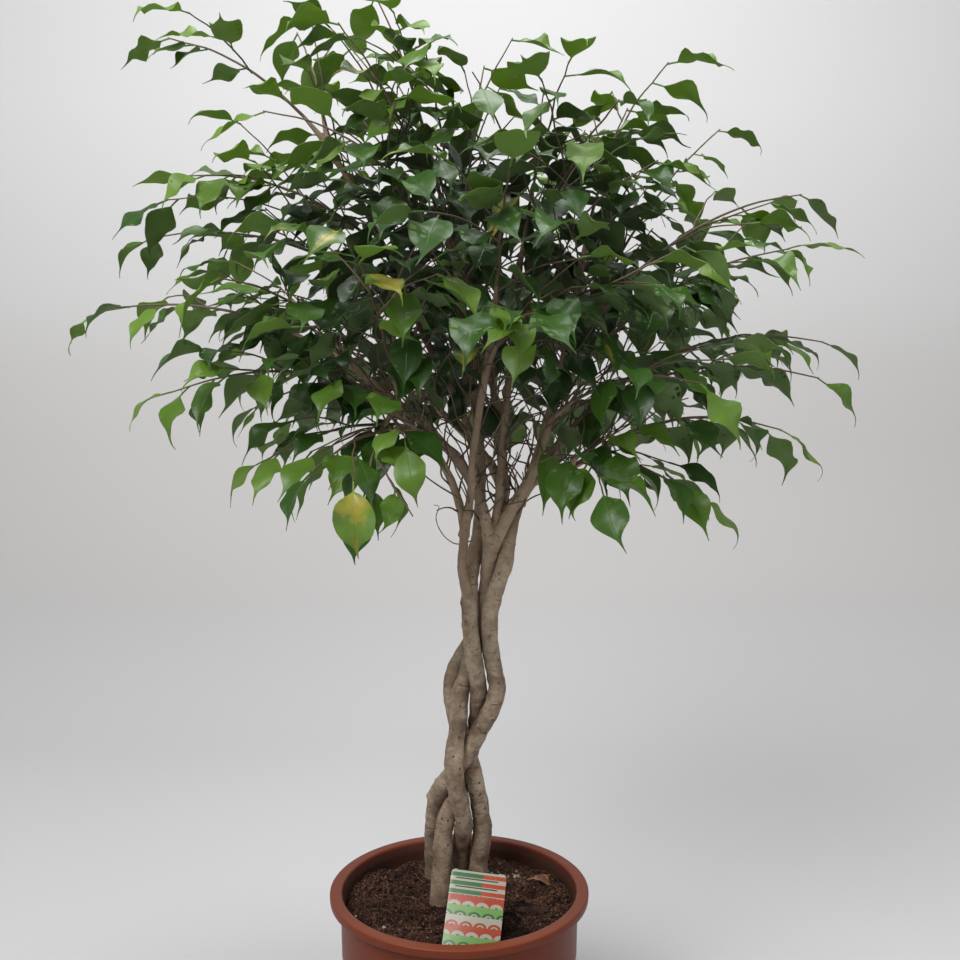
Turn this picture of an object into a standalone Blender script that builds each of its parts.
"""Potted weeping fig: four plaited stems with an umbrella crown, in a round plastic pot.

Metres, +Z up. The origin is the middle of the pot's underside and the front faces -Y.
Lists of points are in millimetres. A part that repeats, such as a leaf, grows by a rule with
seeded draws, and each new one is turned until it is clear of everything that already stands.
"""
import math
import random

import bmesh
import bpy
import numpy as np
from mathutils import Matrix, Quaternion, Vector
from mathutils.bvhtree import BVHTree

MM = 0.001
UP = Vector((0, 0, 1))
GAP = 0.4 * MM                      # kept between neighbouring pieces
FINE_STEP = 5 * MM                  # spacing of the points that a path is worked out with

# Pot: radius and height of each step of its wall.
FACETS = 32
POT_HEIGHT = 195 * MM
RIM_RADIUS = 120 * MM
RIM_INNER_RADIUS = 109 * MM
LIP_DEPTH = 8 * MM
COLLAR_RADIUS = 110 * MM
COLLAR_FOOT = 136 * MM
SHOULDER_RADIUS = 104.5 * MM
SHOULDER_FOOT = 126 * MM
BASE_RADIUS = 85 * MM
WALL = 3 * MM
DRAIN_HOLES = 6
DRAIN_RADIUS = 6 * MM
DRAIN_CIRCLE = 55 * MM
DRAIN_FACETS = 6
RIM_CHAMFER = 2 * MM
LIP_SLOPE = 0.5 * MM                # fall of the lip's underside towards the collar

# Soil: its surface is a sum of low waves round this height.
SOIL_LEVEL = 179 * MM
SOIL_WAVE = 1.6 * MM
SOIL_RINGS = (0.4, 0.75)

# Label: a plate that leans back, with a narrow foot in the soil.
LABEL_WIDTH = 49 * MM
LABEL_HEIGHT = 62 * MM
LABEL_FOOT = 20 * MM
LABEL_FOOT_WIDTH = 22 * MM
LABEL_THICKNESS = 1.2 * MM
LABEL_CORNER = 4 * MM
LABEL_PLACE = Vector((11, -84, 179)) * MM
LABEL_LEAN = math.radians(36)
LABEL_TURN = math.radians(7)

# Stems: the middle line of each, from its end in the soil to the fork.
STEM_FOOT_RADIUS = 9.3 * MM
STEM_TOP_RADIUS = 7.3 * MM
STEM_STEP = 21 * MM
STEM_SIDES = 7
STEM_SPACE = 1.5 * MM               # between two stems where they cross
STEM_HOLE_TOP = 209 * MM            # the cutters of the soil's holes end above the soil here
EASING_TURNS = 160                  # rounds of pushing crossing stems apart, most with a smoothing
SMOOTHING_TURNS = 150
SMOOTHING = 0.12
PUSH_WEIGHTS = (0.6, 1.0, 0.0)      # mostly front to back, less sideways, never up or down
STEMS = {
    "stem_front": [(-22, -4, 112), (-20, 0, 173), (-17, 2, 206), (-14, 6, 240), (-8, 18, 266),
                   (1, 30, 284), (8, 34, 305), (14, 20, 335), (18, 4, 366), (19, -6, 394),
                   (14, -8, 420), (9, -6, 443), (11, -3, 472), (16, 2, 498), (21, 8, 523)],
    "stem_left": [(-27, 60, 112), (-26, 57, 181), (-29, 48, 212), (-26, 38, 238), (-18, 25, 266),
                  (-5, 14, 293), (8, 0, 323), (20, -5, 348), (26, -3, 375), (27, 4, 398),
                  (21, -4, 429), (22, -10, 455), (29, -10, 476), (38, -5, 499), (43, 5, 523)],
    "stem_centre": [(2, 46, 112), (1, 40, 193), (3, 28, 224), (-1, 4, 271), (-4, -7, 304),
                    (-2, -7, 334), (3, -3, 356), (9, 7, 384), (14, 9, 412), (20, 8, 438),
                    (26, 6, 464), (29, -1, 494), (30, -8, 518)],
    "stem_right": [(16, 36, 112), (14, 30, 189), (17, 24, 221), (18, 14, 253), (14, 12, 283),
                   (9, 20, 310), (2, 16, 334), (-6, 12, 359), (-7, 9, 386), (0, 15, 407),
                   (15, 22, 421), (29, 22, 435), (35, 20, 457), (39, 20, 484), (40, 22, 512)],
}

# Limbs: parent, height where it leaves its parent, first and last radius, then its own points.
LIMB_SIDES = 5
LIMB_STEP = 38 * MM
LIMBS = {
    "leader": ("stem_front", 515, 5.6, 2.8, [(20, 12, 577), (17, 6, 621), (12, 2, 670), (4, 8, 730),
                                             (-6, 14, 780)]),
    "front_left": ("stem_front", 462, 4.6, 2.8, [(3, -15, 491), (5, -18, 526), (-2, -27, 562),
                                                 (-20, -50, 600), (-52, -85, 635)]),
    "front": ("front_left", 524, 3.8, 2.8, [(10, -34, 555), (14, -58, 605), (22, -94, 655), (30, -120, 700)]),
    "right": ("stem_left", 515, 6.4, 3.2, [(55, 13, 552), (70, 16, 575), (98, 18, 612), (140, 22, 655)]),
    "right_low": ("right", 571, 3.6, 2.6, [(98, 2, 582), (130, -22, 604)]),
    "back_right": ("right", 551, 4.6, 2.8, [(72, 40, 590), (92, 72, 640), (110, 100, 690)]),
    "left": ("stem_centre", 512, 5.4, 3.0, [(19, -18, 556), (-2, -24, 593), (-32, -32, 625),
                                            (-84, -36, 668)]),
    "high_right": ("stem_centre", 512, 6.0, 2.8, [(50, -14, 552), (66, -20, 581), (80, -30, 629),
                                                  (96, -44, 700), (104, -50, 750)]),
    "middle": ("stem_centre", 512, 4.4, 2.6, [(37, -10, 560), (40, -14, 610), (46, -30, 680),
                                              (52, -44, 750)]),
    "back": ("stem_right", 505, 5.6, 2.8, [(42, 34, 552), (40, 46, 590), (34, 66, 640), (30, 92, 700)]),
    "back_left": ("back", 560, 4.2, 2.8, [(22, 50, 598), (-18, 58, 636), (-68, 72, 688)]),
    "high_left": ("back_left", 606, 3.6, 2.6, [(-4, 42, 650), (-30, 34, 700), (-56, 26, 760),
                                               (-90, 22, 828), (-120, 16, 880)]),
}

# Sprays: the tip of each leafy shoot, the limb that carries it and how far along the limb it starts.
SPRAYS = {
    "spray_left_1": ((-322, -20, 724), "left", 0.95),
    "spray_left_2": ((-300, 60, 805), "high_left", 0.44),
    "spray_left_3": ((-240, -78, 650), "left", 0.8),
    "spray_left_4": ((-263, 4, 973), "high_left", 1.0),
    "spray_left_5": ((-257, 28, 856), "high_left", 0.64),
    "spray_left_6": ((-230, 160, 750), "back_left", 0.9),
    "spray_left_7": ((-165, -70, 592), "left", 0.6),
    "spray_left_8": ((-200, 80, 645), "back_left", 0.7),
    "spray_top_1": ((-158, 70, 1004), "high_left", 1.0),
    "spray_top_2": ((-98, -74, 955), "leader", 0.95),
    "spray_top_3": ((-80, 12, 1022), "leader", 1.0),
    "spray_top_4": ((-26, -92, 929), "leader", 0.85),
    "spray_top_5": ((23, 34, 959), "leader", 0.9),
    "spray_top_6": ((81, -44, 888), "middle", 1.0),
    "spray_top_7": ((149, -22, 902), "high_right", 1.0),
    "spray_top_8": ((248, 52, 906), "back_right", 0.95),
    "spray_top_9": ((127, 125, 927), "back", 1.0),
    "spray_top_10": ((-71, 120, 982), "back", 0.9),
    "spray_right_1": ((314, 12, 835), "high_right", 0.75),
    "spray_right_2": ((278, -74, 770), "high_right", 0.6),
    "spray_right_3": ((342, 30, 702), "right", 1.0),
    "spray_right_4": ((314, -44, 664), "right", 0.85),
    "spray_right_5": ((258, 155, 755), "back_right", 1.0),
    "spray_right_6": ((274, -70, 619), "right_low", 1.0),
    "spray_right_7": ((167, -84, 582), "right_low", 0.75),
    "spray_right_8": ((190, 120, 640), "back_right", 0.6),
    "spray_front_1": ((-69, -168, 564), "front_left", 1.0),
    "spray_front_2": ((-111, -158, 584), "front_left", 0.85),
    "spray_front_3": ((-78, -212, 758), "front_left", 0.95),
    "spray_front_4": ((40, -222, 800), "front", 1.0),
    "spray_front_5": ((58, -212, 700), "front", 0.8),
    "spray_front_6": ((142, -190, 724), "middle", 0.7),
    "spray_front_7": ((189, -150, 654), "high_right", 0.5),
    "spray_front_8": ((112, -156, 574), "right_low", 0.5),
    "spray_front_9": ((-180, -152, 734), "left", 1.0),
    "spray_front_10": ((-90, -150, 851), "leader", 0.75),
    "spray_front_11": ((122, -166, 862), "middle", 0.9),
    "spray_back_1": ((-155, 185, 668), "back_left", 1.0),
    "spray_back_2": ((-58, 230, 704), "back", 0.65),
    "spray_back_3": ((66, 230, 768), "back", 0.8),
    "spray_back_4": ((-72, 218, 800), "back_left", 0.8),
    "spray_back_5": ((160, 195, 836), "back_right", 0.85),
    "spray_back_6": ((84, 185, 628), "back", 0.5),
}
BRANCH_SIDES = 3
BRANCH_STEP = 48 * MM
SHORTEST_BRANCH = 35 * MM
BRANCH_RADIUS = (3.0 * MM, 2.3 * MM)
BRANCH_ARCH = 0.24                  # rise of a branch's bow, as a share of its reach
BOW_PEAK = 0.45                     # where along its reach the bow is pulled up
BOW_STEPS = 24
FIRST_SEED = 100
SPRAY_LENGTH = 180 * MM
TWIG_SIDES = 3
TWIG_STEP = 46 * MM
TWIG_RADIUS = (2.3 * MM, 1.35 * MM)
TWIG_END = 2.5 * MM                 # the last leaf's stalk starts this far inside its twig
SIDE_TWIG_LENGTH = (62 * MM, 88 * MM)
SIDE_TWIG_RADIUS = (1.5 * MM, 1.25 * MM)
SIDE_TWIG_PLACES = (0.42,)
SIDE_TWIG_AHEAD = (0.6, 0.9)         # its way is a mix of its host's, sideways and up
SIDE_TWIG_ASIDE = (0.5, 0.9)
SIDE_TWIG_RISE = (-0.3, 0.25)
SIDE_TWIG_BOW = 5 * MM              # its middle is lifted and its tip lowered by these
SIDE_TWIG_SAG = 3 * MM
FIRST_LEAF = {"main": 16 * MM, "side": 26 * MM}
LEAF_SPACING = 50 * MM
LAST_SPACING = 0.4                  # least share of the spacing before the leaf at the very end

# Leaf: shares of its length and of its half width at each station, petiole to tip.
LEAF_LENGTH = (50 * MM, 67 * MM)
LEAF_SLENDERNESS = (1.8, 2.3)
LEAF_THICKNESS = 0.6 * MM
LEAF_STATIONS = ((0.38, 1.0), (0.62, 0.76), (0.8, 0.14))
LEAF_ROOT_HALF = 0.55 * MM
LEAF_RISE = 0.25                    # the most that a stalk points up, then it droops by a random share
LEAF_DROOP = (-0.15, 0.65)
LEAF_ROLL = (-0.45, 0.45)
LEAF_BEND = (0.55, 1.2)             # radians from stalk to tip, less by a share high in the crown
LOW_LEAF, HIGH_LEAF = 600 * MM, 900 * MM
OPEN_FORK_MIDDLE = 22 * MM          # no leaf hangs before or behind the fork, which stands open
OPEN_FORK_WIDTH = 52 * MM
OPEN_FORK_TOP = 612 * MM
TOP_FLATNESS = 0.4
LEAF_AHEAD = (0.5, 1.0)             # its way is a mix of the twig's and sideways
LEAF_ASIDE = (0.35, 0.85)
LEAF_TRIES = 14
LEAF_SHRINKING = 0.015              # each new try is this share shorter
LEAF_CLEARANCE = 0.45 * MM
WOOD_CLEARANCE = 0.5 * MM
BRANCH_TRIES = 40
BRANCH_LOOSENING = 0.015            # each new try sways by this much more of its reach

COLOURS = {
    "pot_plastic": ((0.33, 0.085, 0.045, 1), 0.42),
    "soil": ((0.035, 0.022, 0.015, 1), 0.95),
    "label": ((0.75, 0.74, 0.70, 1), 0.35),
    "bark": ((0.30, 0.25, 0.19, 1), 0.85),
    "leaf": ((0.035, 0.13, 0.035, 1), 0.35),
}


def material(name):
    """The part's material of this name, made on first use."""
    found = bpy.data.materials.get(name)
    if found:
        return found
    made = bpy.data.materials.new(name)
    made.use_nodes = True
    shader = made.node_tree.nodes["Principled BSDF"]
    colour, roughness = COLOURS[name]
    shader.inputs["Base Color"].default_value = colour
    shader.inputs["Roughness"].default_value = roughness
    made.diffuse_color = colour
    return made


def solid(name, shape, colour, smooth_angle=None):
    """A closed mesh object from (points, faces), with its faces turned outwards."""
    mesh = bpy.data.meshes.new(name)
    work = bmesh.new()
    corners = [work.verts.new(point) for point in shape[0]]
    for face in shape[1]:
        work.faces.new([corners[index] for index in face])
    bmesh.ops.recalc_face_normals(work, faces=work.faces)
    work.to_mesh(mesh)
    work.free()
    mesh.materials.append(material(colour))
    if smooth_angle:
        mesh.shade_smooth()
        mesh.set_sharp_from_angle(angle=smooth_angle)
    made = bpy.data.objects.new(name, mesh)
    bpy.context.scene.collection.objects.link(made)
    return made


def combine(base, others, operation):
    """Join other objects to the base, or cut them out of it, in one Boolean that is applied."""
    group = bpy.data.collections.new("group")
    bpy.context.scene.collection.children.link(group)
    for other in others:
        bpy.context.scene.collection.objects.unlink(other)
        group.objects.link(other)
    step = base.modifiers.new("combine", "BOOLEAN")
    step.operation = operation
    step.operand_type = "COLLECTION"
    step.collection = group
    evaluated = base.evaluated_get(bpy.context.evaluated_depsgraph_get())
    joined = bpy.data.meshes.new_from_object(evaluated)
    base.modifiers.remove(step)
    base.data = joined
    for other in others:
        bpy.data.objects.remove(other)
    bpy.data.collections.remove(group)
    return base


def turned(profile, facets):
    """Points and faces of a closed ring-shaped or solid body turned round Z.

    A profile point is (radius, height). One at radius 0 becomes a single point on the axis.
    """
    points, rings = [], []
    for radius, height in profile:
        if radius == 0:
            rings.append([len(points)] * facets)
            points.append(Vector((0, 0, height)))
            continue
        rings.append([len(points) + turn for turn in range(facets)])
        for turn in range(facets):
            angle = math.tau * turn / facets
            points.append(Vector((radius * math.cos(angle), radius * math.sin(angle), height)))
    faces = []
    for low, high in zip(rings, rings[1:]):
        for turn in range(facets):
            after = (turn + 1) % facets
            face = [low[turn], low[after], high[after], high[turn]]
            faces.append(list(dict.fromkeys(face)))
    return points, faces


def between(start, end, share):
    return start + (end - start) * share


def inner_radius(height):
    """The pot's inside radius at a height."""
    if height > SHOULDER_FOOT:
        share = min(1, (height - SHOULDER_FOOT) / (COLLAR_FOOT - SHOULDER_FOOT))
        return between(SHOULDER_RADIUS, COLLAR_RADIUS - MM, share) - WALL
    return between(BASE_RADIUS, SHOULDER_RADIUS, height / SHOULDER_FOOT) - WALL


def pot():
    rim = POT_HEIGHT
    lip = POT_HEIGHT - LIP_DEPTH
    profile = [
        (0, 0), (BASE_RADIUS, 0), (SHOULDER_RADIUS, SHOULDER_FOOT), (COLLAR_RADIUS - MM, COLLAR_FOOT),
        (COLLAR_RADIUS, lip + LIP_SLOPE), (RIM_RADIUS - RIM_CHAMFER, lip), (RIM_RADIUS, lip + RIM_CHAMFER),
        (RIM_RADIUS, rim - RIM_CHAMFER), (RIM_RADIUS - RIM_CHAMFER, rim),
        (RIM_INNER_RADIUS + RIM_CHAMFER, rim), (RIM_INNER_RADIUS, rim - RIM_CHAMFER),
        (inner_radius(lip), lip - MM),
        (inner_radius(COLLAR_FOOT), COLLAR_FOOT), (inner_radius(SHOULDER_FOOT), SHOULDER_FOOT),
        (inner_radius(WALL), WALL), (0, WALL),
    ]
    body = solid("pot", turned(profile, FACETS), "pot_plastic", math.radians(30))
    drill = [(0, -WALL), (DRAIN_RADIUS, -WALL), (DRAIN_RADIUS, 2 * WALL), (0, 2 * WALL)]
    cutters = []
    for hole in range(DRAIN_HOLES):
        points, faces = turned(drill, DRAIN_FACETS)
        centre = Matrix.Rotation(math.tau * hole / DRAIN_HOLES, 3, "Z") @ Vector((DRAIN_CIRCLE, 0, 0))
        cutters.append(solid("drain", ([point + centre for point in points], faces), "pot_plastic"))
    return combine(body, cutters, "DIFFERENCE")


def soil_height(x, y):
    """Height of the soil's surface: three low waves."""
    waves = math.sin(63 * x + 21 * y) + math.sin(95 * y - 34 * x + 1.0)
    return SOIL_LEVEL + SOIL_WAVE * (waves + 0.6 * math.sin(140 * x + 90 * y + 2.0))


def soil(cutters):
    """The soil, inside the pot's wall, with a plain hole for each thing that stands in it."""
    edge = inner_radius(SOIL_LEVEL) - GAP
    profile = [(0, WALL + GAP), (inner_radius(WALL) - GAP, WALL + GAP),
               (inner_radius(SHOULDER_FOOT) - GAP, SHOULDER_FOOT),
               (inner_radius(COLLAR_FOOT) - GAP, COLLAR_FOOT), (edge, SOIL_LEVEL)]
    profile += [(edge * share, SOIL_LEVEL) for share in reversed(SOIL_RINGS)] + [(0, SOIL_LEVEL)]
    points, faces = turned(profile, FACETS)
    for point in points:
        if point.z == SOIL_LEVEL:
            point.z = soil_height(point.x, point.y)
    return combine(solid("soil", (points, faces), "soil"), cutters, "DIFFERENCE")


def label_shape(margin=0.0):
    """The label's plate: a rounded top and sides that narrow to a foot, grown by a margin."""
    half, foot_half = LABEL_WIDTH / 2, LABEL_FOOT_WIDTH / 2
    outline = [(-foot_half - margin, -LABEL_FOOT - margin), (foot_half + margin, -LABEL_FOOT - margin),
               (half + margin, -margin)]
    for centre, start in ((half - LABEL_CORNER, 0), (LABEL_CORNER - half, 90)):
        for turn in (0, 30, 60, 90):
            angle = math.radians(start + turn)
            outline.append((centre + (LABEL_CORNER + margin) * math.cos(angle),
                            LABEL_HEIGHT - LABEL_CORNER + (LABEL_CORNER + margin) * math.sin(angle)))
    outline.append((-half - margin, -margin))
    depth = LABEL_THICKNESS / 2 + margin
    place = (Matrix.Translation(LABEL_PLACE) @ Matrix.Rotation(-LABEL_LEAN, 4, "X")
             @ Matrix.Rotation(LABEL_TURN, 4, "Y"))
    points = [place @ Vector((x, y, z)) for y in (-depth, depth) for x, z in outline]
    count = len(outline)
    faces = [list(range(count)), list(range(2 * count - 1, count - 1, -1))]
    for corner in range(count):
        after = (corner + 1) % count
        faces.append([corner, corner + count, after + count, after])
    return points, faces


def curve(points, step):
    """A smooth curve through the points, as a list of points about one step apart."""
    points = [Vector(point) for point in points]
    ends = [points[0] * 2 - points[1]] + points + [points[-1] * 2 - points[-2]]
    fine = [points[0]]
    for before, start, end, after in zip(ends, ends[1:], ends[2:], ends[3:]):
        for share in (0.125, 0.25, 0.375, 0.5, 0.625, 0.75, 0.875, 1):
            fine.append(0.5 * (2 * start + (end - before) * share
                               + (2 * before - 5 * start + 4 * end - after) * share ** 2
                               + (3 * start - before - 3 * end + after) * share ** 3))
    return resample(fine, step)


def resample(fine, step):
    """Points at equal distances along a polyline, its two ends included."""
    lengths = [0.0]
    for start, end in zip(fine, fine[1:]):
        lengths.append(lengths[-1] + (end - start).length)
    count = max(2, round(lengths[-1] / step) + 1)
    places = np.linspace(0, lengths[-1], count)
    columns = [np.interp(places, lengths, [point[axis] for point in fine]) for axis in range(3)]
    return [Vector(point) for point in zip(*columns)]


def along(path, share):
    """The point at a share of a path's points, and the direction there."""
    place = share * (len(path) - 1)
    index = min(int(place), len(path) - 2)
    point = path[index].lerp(path[index + 1], place - index)
    return point, (path[index + 1] - path[index]).normalized()


def tapered(path, ends):
    return [between(ends[0], ends[1], index / (len(path) - 1)) for index in range(len(path))]


def tube(path, radii, sides, margin=0.0, first=None, last=None):
    """Points and faces of a tube with flat ends along a path. first and last tilt its two ends."""
    points, faces = [], []
    befores, afters = [path[0]] + path, path[1:] + [path[-1]]
    headings = [(after - before).normalized() for before, after in zip(befores, afters)]
    headings[0], headings[-1] = first or headings[0], last or headings[-1]
    heading = headings[0]
    across = heading.orthogonal().normalized()
    for index, (centre, ahead) in enumerate(zip(path, headings)):
        across = (heading.rotation_difference(ahead) @ across).normalized()
        heading = ahead
        for side in range(sides):
            turn = Quaternion(heading, math.tau * side / sides)
            points.append(centre + turn @ across * (radii[index] + margin))
    for ring in range(len(path) - 1):
        for side in range(sides):
            after = (side + 1) % sides
            low, high = ring * sides, (ring + 1) * sides
            faces.append([low + side, low + after, high + after, high + side])
    faces.append(list(range(sides - 1, -1, -1)))
    faces.append(list(range(len(points) - sides, len(points))))
    return points, faces


def blade(root, ahead, face, length, half_width, bend, margin=0.0):
    """Points and faces of a leaf: a flat strip that bends down to a drawn-out tip."""
    across = ahead.cross(face).normalized()
    depth = LEAF_THICKNESS / 2 + margin
    stations = [(0.0, LEAF_ROOT_HALF)] + [(share, half_width * width) for share, width in LEAF_STATIONS]
    points, centre, reached = [], root.copy(), 0.0
    for share, half in stations:
        centre += Quaternion(across, -bend * (reached + share) / 2) @ ahead * length * (share - reached)
        reached = share
        normal = Quaternion(across, -bend * share) @ face
        for side, level in ((-1, -1), (1, -1), (1, 1), (-1, 1)):
            points.append(centre + across * side * (half + margin) + normal * level * depth)
    points.append(centre + Quaternion(across, -bend) @ ahead * (length * (1 - reached) + margin))
    faces = [[3, 2, 1, 0]]
    for ring in range(len(stations) - 1):
        for side in range(4):
            after = (side + 1) % 4
            faces.append([4 * ring + side, 4 * ring + after, 4 * ring + 4 + after, 4 * ring + 4 + side])
    last = 4 * (len(stations) - 1)
    faces += [[last + side, last + (side + 1) % 4, last + 4] for side in range(4)]
    return points, faces


class Crowd:
    """Everything that has grown so far, so that what grows next is kept clear of it."""

    def __init__(self):
        self.owners, self.trees, self.centres, self.reaches = [], [], [], []

    def measure(self, shape):
        corners = np.array(shape[0])
        centre = (corners.min(0) + corners.max(0)) / 2
        return centre, np.linalg.norm(corners - centre, axis=1).max()

    def add(self, owner, shape):
        centre, reach = self.measure(shape)
        self.owners.append(owner)
        self.trees.append(BVHTree.FromPolygons(shape[0], shape[1]))
        self.centres.append(centre)
        self.reaches.append(reach)

    def clear(self, shape, allowed=()):
        centre, reach = self.measure(shape)
        distances = np.linalg.norm(np.array(self.centres) - centre, axis=1)
        tree = None
        for index in np.nonzero(distances < np.array(self.reaches) + reach)[0]:
            if self.owners[index] in allowed:
                continue
            tree = tree or BVHTree.FromPolygons(shape[0], shape[1])
            if tree.overlap(self.trees[index]):
                return False
        return True


def spread_stems():
    """The four stems' paths, eased apart where they pass until their bark is clear."""
    routes = [[Vector(point) * MM for point in points] for points in STEMS.values()]
    paths = [np.array(curve(route, FINE_STEP)) for route in routes]
    radii = [np.linspace(STEM_FOOT_RADIUS, STEM_TOP_RADIUS, len(path)) for path in paths]
    for turn in range(EASING_TURNS):
        for first in range(len(paths)):
            for second in range(first):
                apart = paths[first][:, None] - paths[second][None]
                distance = np.linalg.norm(apart, axis=2)
                need = radii[first][:, None] + radii[second][None] + STEM_SPACE
                lack = np.where(distance < need, need - distance, 0)
                push = apart / distance[..., None] * lack[..., None] * PUSH_WEIGHTS
                for path, axis, sign in ((paths[first], 1, 1), (paths[second], 0, -1)):
                    share = np.maximum((lack > 0).sum(axis), 1)[:, None]
                    path += sign * 0.5 * push.sum(axis) / share
        if turn < SMOOTHING_TURNS:
            for path in paths:
                path[1:-1] += SMOOTHING * (path[:-2] - 2 * path[1:-1] + path[2:])
    return {name: resample([Vector(point) for point in path], STEM_STEP) for name, path in zip(STEMS, paths)}


def at_height(path, height):
    """The first point of a path that reaches a height."""
    for start, end in zip(path, path[1:]):
        if end.z >= height:
            return start.lerp(end, (height - start.z) / (end.z - start.z))
    return path[-1].copy()


def grow_wood(crowd):
    """Stems and limbs: their paths, and the tubes of each stem's node."""
    paths = spread_stems()
    owners = {name: name for name in paths}
    tubes = {}
    for name, path in paths.items():
        radii = tapered(path, (STEM_FOOT_RADIUS, STEM_TOP_RADIUS))
        tubes[name] = [tube(path, radii, STEM_SIDES)]
        crowd.add(name, tubes[name][0])
    for name, (parent, height, first, last, points) in LIMBS.items():
        start = at_height(paths[parent], height * MM)
        path = curve([start] + [Vector(point) * MM for point in points], LIMB_STEP)
        paths[name], owners[name] = path, owners[parent]
        shape = tube(path, tapered(path, (first * MM, last * MM)), LIMB_SIDES)
        tubes[owners[name]].append(shape)
        crowd.add(owners[name], shape)
    return paths, owners, tubes


def bow(start, tip, arch, sway):
    """An arching path from a limb to a shoot's tip, in fine steps."""
    reach = (tip - start).length
    middle = start.lerp(tip, BOW_PEAK) + UP * arch * reach + sway * reach
    steps = [step / BOW_STEPS for step in range(BOW_STEPS + 1)]
    return [start * (1 - share) ** 2 + middle * 2 * share * (1 - share) + tip * share ** 2 for share in steps]


def split(fine, length):
    """Cut a fine path at a length from its end: the bare part, then the leafy part."""
    steps = resample(fine, FINE_STEP)
    cut = max(round(SHORTEST_BRANCH / FINE_STEP), len(steps) - 1 - round(length / FINE_STEP))
    return steps[:cut + 1], steps[cut:]


def grow_branch(crowd, paths, owner, tip, limb, share, draw):
    """A bare branch and the leafy twig that goes on from it, bent clear of all other wood."""
    start, _ = along(paths[limb], share)
    for attempt in range(BRANCH_TRIES):
        loose = BRANCH_LOOSENING * attempt
        sway = Vector([draw.uniform(-loose, loose) for _ in range(3)])
        bare, leafy = split(bow(start, Vector(tip) * MM, BRANCH_ARCH, sway), SPRAY_LENGTH)
        branch = resample(bare, BRANCH_STEP)
        ahead = (leafy[1] - leafy[0]).normalized()
        leafy[0] = leafy[0] + ahead * GAP
        twig = resample(leafy, TWIG_STEP)
        radii = tapered(branch, BRANCH_RADIUS)
        thick = tube(branch, radii, BRANCH_SIDES, WOOD_CLEARANCE)
        later = [twig[0] + ahead * FINE_STEP] + twig[1:]
        thin = tube(later, tapered(later, TWIG_RADIUS), TWIG_SIDES, WOOD_CLEARANCE)
        if crowd.clear(thick, (owner,)) and crowd.clear(thin):
            return branch, radii, twig, ahead
    raise ValueError(f"no clear way from {limb} to {tip}")


def grow_side_twig(crowd, name, twig, share, turn, draw):
    """A short twig to one side of a shoot's main twig."""
    root, ahead = along(twig, share)
    side = ahead.cross(UP).normalized() * turn
    for attempt in range(LEAF_TRIES):
        way = (ahead * draw.uniform(*SIDE_TWIG_AHEAD) + side * draw.uniform(*SIDE_TWIG_ASIDE)
               + UP * draw.uniform(*SIDE_TWIG_RISE))
        tip = root + way.normalized() * draw.uniform(*SIDE_TWIG_LENGTH)
        path = resample([root, root.lerp(tip, 0.5) + UP * SIDE_TWIG_BOW, tip - UP * SIDE_TWIG_SAG], TWIG_STEP)
        if crowd.clear(tube(path, tapered(path, SIDE_TWIG_RADIUS), TWIG_SIDES, WOOD_CLEARANCE), (name,)):
            return path
    return None


def before_fork(place):
    """Whether a place lies low in the crown, in front of the open fork or behind it."""
    return abs(place.x - OPEN_FORK_MIDDLE) < OPEN_FORK_WIDTH and place.z < OPEN_FORK_TOP


def grow_leaf(crowd, root, ahead, turn, own, draw):
    """A leaf on one side of a twig, or at its end where turn is 0, turned until it is clear."""
    side = ahead.cross(UP).normalized() * turn
    high = min(1, max(0, (root.z - LOW_LEAF) / (HIGH_LEAF - LOW_LEAF)))
    for attempt in range(LEAF_TRIES):
        length = draw.uniform(*LEAF_LENGTH) * (1 - LEAF_SHRINKING * attempt)
        half_width = length / draw.uniform(*LEAF_SLENDERNESS) / 2
        way = (ahead * draw.uniform(*LEAF_AHEAD) + side * draw.uniform(*LEAF_ASIDE)).normalized()
        way.z = min(way.z, LEAF_RISE) - draw.uniform(*LEAF_DROOP)
        way.normalize()
        face = Quaternion(way, draw.uniform(*LEAF_ROLL)) @ (UP - way * way.z).normalized()
        bend = draw.uniform(*LEAF_BEND) * (1 - TOP_FLATNESS * high)
        leaf = (root, way, face, length, half_width, bend)
        if before_fork(root + way * length / 2):
            continue
        if crowd.clear(blade(*leaf, margin=LEAF_CLEARANCE), (own,)):
            return leaf
    return None


def leaf_places(path, first, spacing):
    """Where a twig's leaves grow: alternate sides, then one at the very end."""
    length = sum((end - start).length for start, end in zip(path, path[1:]))
    count = int((length - first - LAST_SPACING * spacing) / spacing) + 1
    places = [((first + spacing * index) / length, 1 if index % 2 else -1) for index in range(count)]
    return places + [(1 - TWIG_END / length, 0)]


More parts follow.
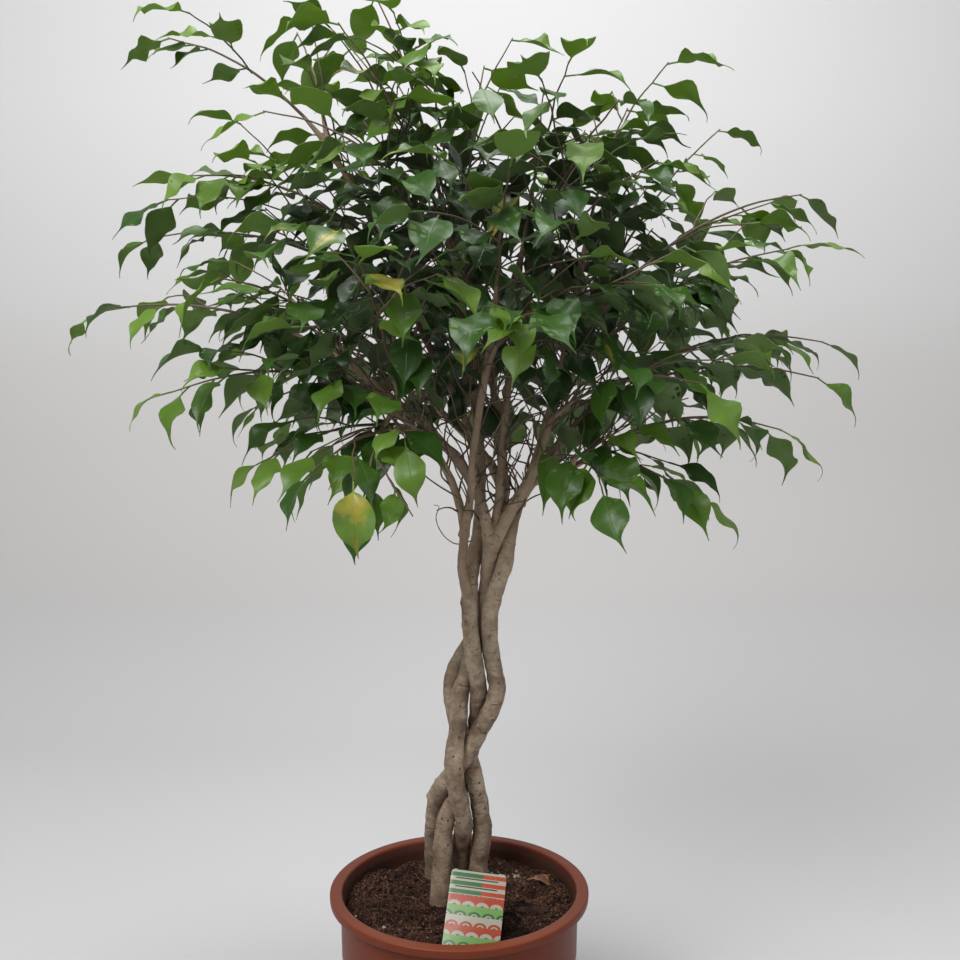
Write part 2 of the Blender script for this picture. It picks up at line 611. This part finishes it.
def grow_crown(crowd, paths, owners, tubes):
    """All branches first, then all side twigs, then the leaves, so that leaves give way to wood."""
    sprays = {}
    for index, (name, (tip, limb, share)) in enumerate(SPRAYS.items()):
        draw = random.Random(FIRST_SEED + index)
        branch, radii, twig, joint = grow_branch(crowd, paths, owners[limb], tip, limb, share, draw)
        shape = tube(branch, radii, BRANCH_SIDES, last=joint)
        tubes[owners[limb]].append(shape)
        crowd.add(owners[limb], shape)
        main = tube(twig, tapered(twig, TWIG_RADIUS), TWIG_SIDES, first=joint)
        crowd.add(name, main)
        sprays[name] = {"draw": draw, "twigs": [twig], "solids": [main]}
    for name, spray in sprays.items():
        for share in SIDE_TWIG_PLACES:
            turn = spray["draw"].choice((-1, 1))
            path = grow_side_twig(crowd, name, spray["twigs"][0], share, turn, spray["draw"])
            if path:
                shape = tube(path, tapered(path, SIDE_TWIG_RADIUS), TWIG_SIDES)
                crowd.add(name, shape)
                spray["twigs"].append(path)
                spray["solids"].append(shape)
    for name, spray in sprays.items():
        for number, twig in enumerate(spray["twigs"]):
            own = (name, number)
            crowd.owners[crowd.owners.index(name)] = own
            first = FIRST_LEAF["side" if number else "main"]
            for share, turn in leaf_places(twig, first, LEAF_SPACING):
                root, ahead = along(twig, share)
                leaf = grow_leaf(crowd, root, ahead, turn, own, spray["draw"])
                if leaf:
                    shape = blade(*leaf)
                    crowd.add(name + "_leaf", shape)
                    spray["solids"].append(shape)
    return sprays


def clear_scene():
    for thing in list(bpy.data.objects):
        bpy.data.objects.remove(thing)


def build():
    clear_scene()
    pot()
    crowd = Crowd()
    paths, owners, tubes = grow_wood(crowd)
    sprays = grow_crown(crowd, paths, owners, tubes)
    cutters = [solid("slot", label_shape(GAP), "label")]
    for name in STEMS:
        path = [point for point in paths[name] if point.z < STEM_HOLE_TOP]
        path[0] = path[0] - UP * GAP
        radii = tapered(paths[name], (STEM_FOOT_RADIUS, STEM_TOP_RADIUS))[:len(path)]
        cutters.append(solid("hole", tube(path, radii, STEM_SIDES, GAP), "soil"))
    soil(cutters)
    solid("plant_label", label_shape(), "label")
    for name, shapes in tubes.items():
        trunk, *rest = [solid(name, shape, "bark") for shape in shapes]
        combine(trunk, rest, "UNION")
    for name, spray in sprays.items():
        twig, *rest = [solid(name, shape, "leaf") for shape in spray["solids"]]
        combine(twig, rest, "UNION")


build()
